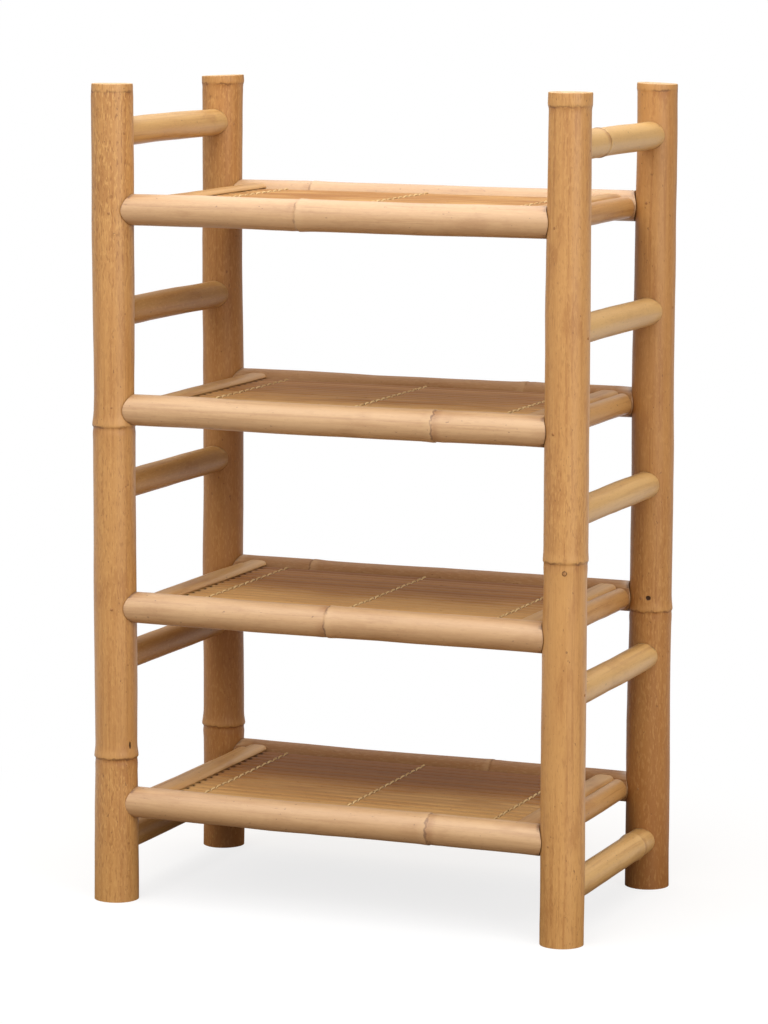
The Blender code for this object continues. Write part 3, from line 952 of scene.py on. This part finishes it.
def lath(name, size, crown):
    """A split lath along X with a crowned top, its middle at the origin and its underside at Z 0."""
    side = size[2] - crown
    piece = fresh_piece(name, bpy.ops.mesh.primitive_cube_add, size=1.0)
    bpy.ops.object.mode_set(mode="EDIT")
    bpy.ops.transform.resize(value=(size[0], size[1], side), center_override=ORIGIN)
    bpy.ops.transform.translate(value=(0.0, 0.0, side / 2))
    pick(piece, "FACE", looks_up)
    for share, narrowing in CROWN_STEPS:
        bpy.ops.mesh.extrude_region_move(TRANSFORM_OT_translate={"value": (0.0, 0.0, crown * share)})
        bpy.ops.transform.resize(value=(1.0, narrowing, 1.0), center_override=ORIGIN)
    pick(piece, "EDGE", lambda edge: edge.calc_length() > size[0] / 2)
    bpy.ops.mesh.subdivide(number_cuts=LATH_SEGMENTS)
    turn_out()
    bpy.ops.object.mode_set(mode="OBJECT")
    return piece


def end_lath(piece, slot, node, skin, dents, tone, rails):
    """Finishes a batten or bearer: its skin, its dents and its coped ends."""
    piece.data.materials.append(skin)
    dent(piece, *dents)
    cut(piece, rails)
    carry(piece, "node_gap", FAR_FROM_NODE)
    carry(piece, "tone", tone)
    stand_for(piece, slot, node)


def slat_pitch(sizes, low, high):
    """Distance from one slat to the next, from the corners of a mat's box."""
    return (high.y - low.y + sizes.slat_gap) / SLAT_COUNT


def laced_lines(shelf):
    """Where along the slats of a shelf the lines of twine are."""
    return [middle(f"shelf_{shelf}_{side}_bearer").x for side in LACED_SIDES]


class RACK_OT_slats(bpy.types.Operator):
    """Model the slats of each shelf, side by side"""
    bl_idname = "rack.slats"
    bl_label = "Slats"

    def execute(self, context):
        sizes, colours = rack_settings(context)
        skin = skin_finish(colours, "slat", X_AXIS, 80.0, gloss=0.50, coat=0.0, shine=0.12, stain=0.7)
        draw = Random(7)
        for shelf in SHELVES:
            self.make_mat(sizes, shelf, skin, draw)
        return {"FINISHED"}

    def make_mat(self, sizes, shelf, skin, draw):
        node = f"shelf_{shelf}_slat_mat"
        low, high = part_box(node)
        pitch = slat_pitch(sizes, low, high)
        size = (high.x - low.x, pitch - sizes.slat_gap, sizes.slat_thickness)
        pattern = lath("slat", size, sizes.slat_crown)
        self.notch(pattern, self.notches(sizes, shelf))
        slats = []
        for number_from_front in range(SLAT_COUNT):
            slat = copied(pattern)
            slat.scale = (1.0, draw.uniform(*SLAT_WIDTHS), draw.uniform(*SLAT_HEIGHTS))
            place = low.y + size[1] / 2 + pitch * number_from_front
            put(slat, (0.0, place, low.z), (radians(draw.uniform(-SLAT_TILT, SLAT_TILT)), 0.0, 0.0))
            # painted light at the front of a mat and painted shade further back, plus a random spread of the
            # slats' own tone
            backness = (number_from_front / SLAT_COUNT) ** 2
            tone = SLAT_TONES_AND_SHADE[number_from_front] + MAT_PAINTED_SHADING[shelf - 1] * backness
            carry(slat, "tone", tone + draw.uniform(-TONE_SPREAD, TONE_SPREAD))
            slats.append(slat)
        bpy.data.objects.remove(pattern)
        mat = joined(f"shelf_{shelf}_slats", slats)
        mat.data.materials.append(skin)
        dent(mat, *SLAT_DENTS)
        carry(mat, "node_gap", FAR_FROM_NODE)
        stand_for(mat, "slat", node)

    def notches(self, sizes, shelf):
        """Where the slats of a shelf are nicked: beside the battens and at the lines of twine."""
        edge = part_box(f"shelf_{shelf}_right_batten")[0].x - sizes.end_notch / 4
        nicks = [Notch(side * edge, sizes.end_notch, END_NOTCH_DEPTH) for side in (-1, 1)]
        for line in laced_lines(shelf):
            nicks.append(Notch(line, sizes.lacing_notch, LACING_NOTCH_DEPTH))
        return nicks

    def notch(self, slat, nicks):
        """Nicks both sides of a slat above its underside and marks the nicks for painted shade."""
        bpy.ops.object.mode_set(mode="EDIT")
        for nick in nicks:
            for shift in (-0.5, 0.0, 0.5):
                place = (nick.place + shift * nick.length, 0.0, 0.0)
                bpy.ops.mesh.select_all(action="SELECT")
                bpy.ops.mesh.bisect(plane_co=place, plane_no=(1.0, 0.0, 0.0))
        for nick in nicks:
            pick(slat, "VERT", lambda point: (
                abs(point.co.x - nick.place) < AT_PLACE and point.co.z > NOTCH_FLOOR))
            share = 1.0 - nick.depth
            bpy.ops.transform.resize(value=(1.0, share, 1.0), center_override=ORIGIN)
        bpy.ops.object.mode_set(mode="OBJECT")
        along, across = np.abs(points(slat)[:, 0:2]).T
        nicked = [np.abs(along - abs(nick.place)) < AT_PLACE for nick in nicks]
        at_side = across > across.max() * PAINTED_SHADE_SHARE
        # paints shade into the nicks at the slats' sides
        carry(slat, "grime", np.where(np.any(nicked, axis=0) & at_side, 1.0, 0.0))


# Twine: a strand's share of the twine's radius, points in each turn, the bare end of a mat, the share of
# its radius that it lies above the slats, and the length of its dip into a gap
STRAND_SHARE = 0.56
TURN_POINTS = 9
TWINE_END = 0.002
TWINE_SEAT = 0.35
DIP_LENGTH = 0.0028


class RACK_OT_lacing(bpy.types.Operator):
    """Model the twisted twine that laces the slats of each shelf along three lines"""
    bl_idname = "rack.lacing"
    bl_label = "Lacing Twine"

    def execute(self, context):
        sizes, colours = rack_settings(context)
        thread = named_finish("lacing_twine", twine_finish, colours.twine)
        for shelf in SHELVES:
            low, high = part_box(f"shelf_{shelf}_slat_mat")
            strands = []
            for line in laced_lines(shelf):
                for half_turn in (0.0, pi):
                    strands.append(self.make_strand(sizes, line, low, high, half_turn))
            lacing = joined(f"shelf_{shelf}_lacing", strands)
            lacing.data.materials.append(thread)
            choose(lacing)
            bpy.ops.object.shade_smooth()
            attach(lacing, BODY)
        return {"FINISHED"}

    def make_strand(self, sizes, line, low, high, half_turn):
        """One strand of a line of twine, as a tube along a helix that follows the slats' tops."""
        pitch = slat_pitch(sizes, low, high)
        top = low.z + sizes.slat_thickness
        strand_radius = sizes.twine_radius * STRAND_SHARE
        offset = sizes.twine_radius - strand_radius
        start = low.y + TWINE_END
        span = high.y - low.y - 2 * TWINE_END
        count = round(span / sizes.twine_lay * TURN_POINTS)
        path = bpy.data.curves.new("strand", "CURVE")
        path.dimensions = "3D"
        path.bevel_depth = strand_radius
        path.bevel_resolution = 1
        path.use_fill_caps = True
        spline = path.splines.new("POLY")
        spline.points.add(count)
        for step in range(count + 1):
            along = span * step / count
            y = start + along
            from_gap = (along + TWINE_END + pitch / 2) % pitch - pitch / 2
            dip = sizes.twine_dip * exp(-(from_gap / DIP_LENGTH) ** 2)
            z = top + sizes.twine_radius * TWINE_SEAT - dip
            turn = 2 * pi * along / sizes.twine_lay + half_turn
            spline.points[step].co = (line + offset * cos(turn), y, z + offset * sin(turn), 1.0)
        strand = bpy.data.objects.new("strand", path)
        bpy.context.scene.collection.objects.link(strand)
        choose(strand)
        bpy.ops.object.convert(target="MESH")
        return bpy.context.object


class RACK_OT_battens(bpy.types.Operator):
    """Model the crowned battens over the slat ends"""
    bl_idname = "rack.battens"
    bl_label = "Battens"

    def execute(self, context):
        sizes, colours = rack_settings(context)
        skin = skin_finish(colours, "batten", Y_AXIS, 100.0, coat=0.2, shine=0.3)
        rails = ghost_rails(sizes, colours)
        for _, side, node in shelf_nodes(SIDE_WAYS, "batten"):
            low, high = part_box(node)
            reach = high.y - low.y + 2 * sizes.batten_reach
            size = (reach, high.x - low.x + sizes.batten_lap, high.z - low.z)
            piece = lath(node + "_lath", size, sizes.batten_crown)
            across = (low.x + high.x + SIDE_WAYS[side] * sizes.batten_lap) / 2
            put(piece, (across, (low.y + high.y) / 2, low.z), (0.0, 0.0, pi / 2))
            end_lath(piece, "batten", node, skin, BATTEN_DENTS, BATTEN_TONE, rails)
        bpy.data.objects.remove(rails)
        return {"FINISHED"}


class RACK_OT_bearers(bpy.types.Operator):
    """Model the half-round bearers under the lacing, coped to the rails"""
    bl_idname = "rack.bearers"
    bl_label = "Bearers"

    def execute(self, context):
        sizes, colours = rack_settings(context)
        skin = skin_finish(colours, "bearer", Y_AXIS, 120.0, gloss=0.5, coat=0.0)
        rails = ghost_rails(sizes, colours)
        for _, _, node in shelf_nodes(LACED_SIDES, "bearer"):
            self.make_bearer(node, skin, rails)
        bpy.data.objects.remove(rails)
        return {"FINISHED"}

    def make_bearer(self, node, skin, rails):
        low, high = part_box(node)
        piece = fresh_piece(
            node + "_lath", bpy.ops.mesh.primitive_cylinder_add, vertices=28, radius=1.0, depth=1.0,
            rotation=(pi / 2, 0.0, 0.0))
        bpy.ops.object.transform_apply(location=True, rotation=True, scale=True)
        bpy.ops.object.mode_set(mode="EDIT")
        bpy.ops.transform.resize(
            value=((high.x - low.x) / 2, high.y - low.y, high.z - low.z), center_override=ORIGIN)
        bpy.ops.mesh.bisect(plane_co=ORIGIN, plane_no=(0.0, 0.0, 1.0), use_fill=True, clear_outer=True)
        pick(piece, "EDGE", lambda edge: edge.calc_length() > (high.y - low.y) / 2)
        bpy.ops.mesh.subdivide(number_cuts=LATH_SEGMENTS)
        turn_out()
        bpy.ops.object.mode_set(mode="OBJECT")
        put(piece, ((low.x + high.x) / 2, (low.y + high.y) / 2, high.z))
        end_lath(piece, "bearer", node, skin, BEARER_DENTS, 0.0, rails)


class RACK_OT_pins(bpy.types.Operator):
    """Model the heads of the wooden pins that hold the tenons in the posts"""
    bl_idname = "rack.pins"
    bl_label = "Tenon Pins"

    def execute(self, context):
        sizes, colours = rack_settings(context)
        draw = Random(21)
        wood = skin_finish(colours, "pin", Z_AXIS, 140.0, gloss=0.5, coat=0.0)
        rails = [f"shelf_{shelf}_front_rail" for shelf in SHELVES]
        for corner, (rail_turn, rung_turn) in PIN_TURNS.items():
            rungs = [f"{corner.split('_')[1]}_rung_{rung}" for rung in RUNGS]
            heads = []
            for nodes, turn in ((rails, rail_turn), (rungs, rung_turn)):
                for node in nodes:
                    height = middle(node).z + draw.uniform(-PIN_SHIFT, PIN_SHIFT)
                    spot = skin_point(sizes, corner, height, turn + draw.uniform(-PIN_SPREAD, PIN_SPREAD))
                    heads.append(pin_head(sizes.pin_radius * draw.uniform(*PIN_SHARES), *spot))
            hole = POST_HOLES.get(corner)
            if hole and hole.peg:
                heads.append(pin_head(hole.peg, *skin_point(sizes, corner, hole.height, hole.turn)))
            pins = joined(corner + "_pins", heads)
            pins.data.materials.append(wood)
            carry(pins, "node_gap", FAR_FROM_NODE)
            carry(pins, "tone", 0.0)
            stand_for(pins, "post")
        return {"FINISHED"}


# Soft lights: their widths and depths, and their places
LAMPS = {
    "softbox": ((1.8, 2.2), (-0.32, -1.21, 2.67)),
    "front_fill": ((2.4, 1.6), (0.0, -2.60, 2.00)),
    "right_fill": ((2.4, 2.4), (3.4, -2.2, 1.7)),
}
LAMP_TARGET = Vector((0.0, 0.0, 0.5))

# How far the camera stands aside of its line to the rack's middle
CAMERA_ASIDE = (-0.00173, -0.02195)
SENSOR_WIDTH = 36.0

WHITE = (1.0, 1.0, 1.0)
FLOOR_PAINT = (0.9, 0.9, 0.9)
FLOOR_SIZE = 24.0

# Where the near floor fades out, and the parts of the sky that are behind, above and hazy
FLOOR_FADE = (0.35, 0.85)
SKY_BEHIND, SKY_ABOVE, SKY_HAZE = (-0.4, 0.4), (0.5, 0.95), (0.4, 0.7)


class RACK_OT_stage(bpy.types.Operator):
    """Set up the pale floor, white surroundings, soft lights and camera"""
    bl_idname = "rack.stage"
    bl_label = "Stage"

    def execute(self, context):
        stage = context.scene.rack_stage
        self.make_floor(stage)
        self.make_surroundings(context, stage)
        for name, (size, place) in LAMPS.items():
            self.make_lamp(name, getattr(stage, name), size, place)
        self.make_camera(context, stage)
        context.scene.view_settings.view_transform = "Standard"
        return {"FINISHED"}

    def make_floor(self, stage):
        floor = fresh_piece("floor", bpy.ops.mesh.primitive_plane_add, size=FLOOR_SIZE)
        finish = Finish(bpy.data.materials.new("floor_white"))
        looked_at = finish.node("ShaderNodeLightPath", output="Is Camera Ray")
        mirrored = finish.node("ShaderNodeLightPath", output="Is Glossy Ray")
        place = finish.node("ShaderNodeTexCoord", output="Object")
        away = finish.node("ShaderNodeVectorMath", {"operation": "LENGTH"}, {0: place}, "Value")
        near = 1.0 - finish.rise(away, *FLOOR_FADE)
        paint = finish.node("ShaderNodeBsdfDiffuse", {}, {
            "Color": finish.mix(looked_at, tuple(stage.floor_bounce), FLOOR_PAINT)})
        white = finish.node("ShaderNodeEmission", {}, {"Color": WHITE, "Strength": 1.0})
        share = looked_at * (1.0 - near * stage.floor_shadow) + mirrored * (1.0 - near)
        seen = finish.node("ShaderNodeMixShader", {}, {0: share, 1: paint, 2: white})
        finish.node("ShaderNodeOutputMaterial", {}, {"Surface": seen})
        floor.data.materials.append(finish.owner)

    def make_surroundings(self, context, stage):
        world = bpy.data.worlds.new("white_surroundings")
        context.scene.world = world
        finish = Finish(world)
        way = finish.node("ShaderNodeTexCoord", output="Generated")
        behind = finish.rise(finish.node("ShaderNodeSeparateXYZ", {}, {0: way}, "Y"), *SKY_BEHIND)
        up = finish.node("ShaderNodeSeparateXYZ", {}, {0: way}, "Z")
        above = finish.rise(up, *SKY_ABOVE)
        mirrored = finish.node("ShaderNodeLightPath", output="Is Glossy Ray")
        strength = stage.ambient_front + behind * (stage.ambient_back - stage.ambient_front)
        strength = strength + above * stage.ambient_top
        strength = strength + mirrored * behind * finish.rise(up, *SKY_HAZE) * stage.haze
        tint = finish.mix(behind * (1.0 - mirrored), WHITE, tuple(stage.ambient_tint))
        looked_at = finish.node("ShaderNodeLightPath", output="Is Camera Ray")
        dim = finish.node("ShaderNodeBackground", {}, {"Color": tint, "Strength": strength})
        white = finish.node("ShaderNodeBackground", {}, {"Color": WHITE, "Strength": 1.0})
        seen = finish.node("ShaderNodeMixShader", {}, {0: looked_at, 1: dim, 2: white})
        finish.node("ShaderNodeOutputWorld", {}, {"Surface": seen})

    def make_lamp(self, name, power, size, place):
        bpy.ops.object.light_add(type="AREA", location=place)
        lamp = bpy.context.object
        lamp.name = name
        lamp.data.shape = "RECTANGLE"
        lamp.data.size, lamp.data.size_y = size
        lamp.data.energy = power
        lamp.visible_camera = False
        lamp.rotation_euler = (LAMP_TARGET - lamp.location).to_track_quat("-Z", "Y").to_euler()

    def make_camera(self, context, stage):
        low, high = CAD_BOX
        target = Vector((0.0, 0.0, (low[2] + high[2]) / 2))
        facing = Matrix.Rotation(stage.azimuth, 4, "Z") @ Matrix.Rotation(pi / 2 - stage.pitch, 4, "X")
        facing = facing @ Matrix.Rotation(stage.roll, 4, "Z")
        aside = Vector((*CAMERA_ASIDE, stage.distance))
        bpy.ops.object.camera_add()
        camera = bpy.context.object
        camera.name = "photo_camera"
        camera.matrix_world = Matrix.Translation(target + facing.to_3x3() @ aside) @ facing
        camera.data.lens = stage.lens
        camera.data.sensor_width = SENSOR_WIDTH
        context.scene.camera = camera


STEPS = ("posts", "rails", "rungs", "end_rails", "slats", "lacing", "battens", "bearers", "pins", "stage")


class RACK_PT_pieces(bpy.types.Panel):
    """Lists the rack's groups of pieces and their sizes and colours"""
    bl_idname = "RACK_PT_pieces"
    bl_label = "Shoe Rack"
    bl_space_type = "VIEW_3D"
    bl_region_type = "UI"
    bl_category = "Shoe Rack"

    def draw(self, context):
        for step in STEPS:
            self.layout.operator("rack." + step)
        for group in (context.scene.rack_sizes, context.scene.rack_colours, context.scene.rack_stage):
            box = self.layout.box()
            for name in group.__annotations__:
                box.prop(group, name, text=name.replace("_", " ").capitalize())


GROUPS = {"rack_sizes": RackSizes, "rack_colours": RackColours, "rack_stage": RackStage}
CLASSES = (
    *GROUPS.values(), RACK_OT_posts, RACK_OT_rails, RACK_OT_rungs, RACK_OT_end_rails, RACK_OT_slats,
    RACK_OT_lacing, RACK_OT_battens, RACK_OT_bearers, RACK_OT_pins, RACK_OT_stage, RACK_PT_pieces,
)


def register():
    """Adds the classes and the scene's properties."""
    for item in CLASSES:
        bpy.utils.register_class(item)
    for name, group in GROUPS.items():
        setattr(bpy.types.Scene, name, bpy.props.PointerProperty(type=group))


def unregister():
    """Takes the properties and the classes out again."""
    for name in GROUPS:
        delattr(bpy.types.Scene, name)
    for item in reversed(CLASSES):
        bpy.utils.unregister_class(item)


def main():
    """Models every group of pieces in order."""
    register()
    for step in STEPS:
        getattr(bpy.ops.rack, step)()


if __name__ == "__main__":
    main()
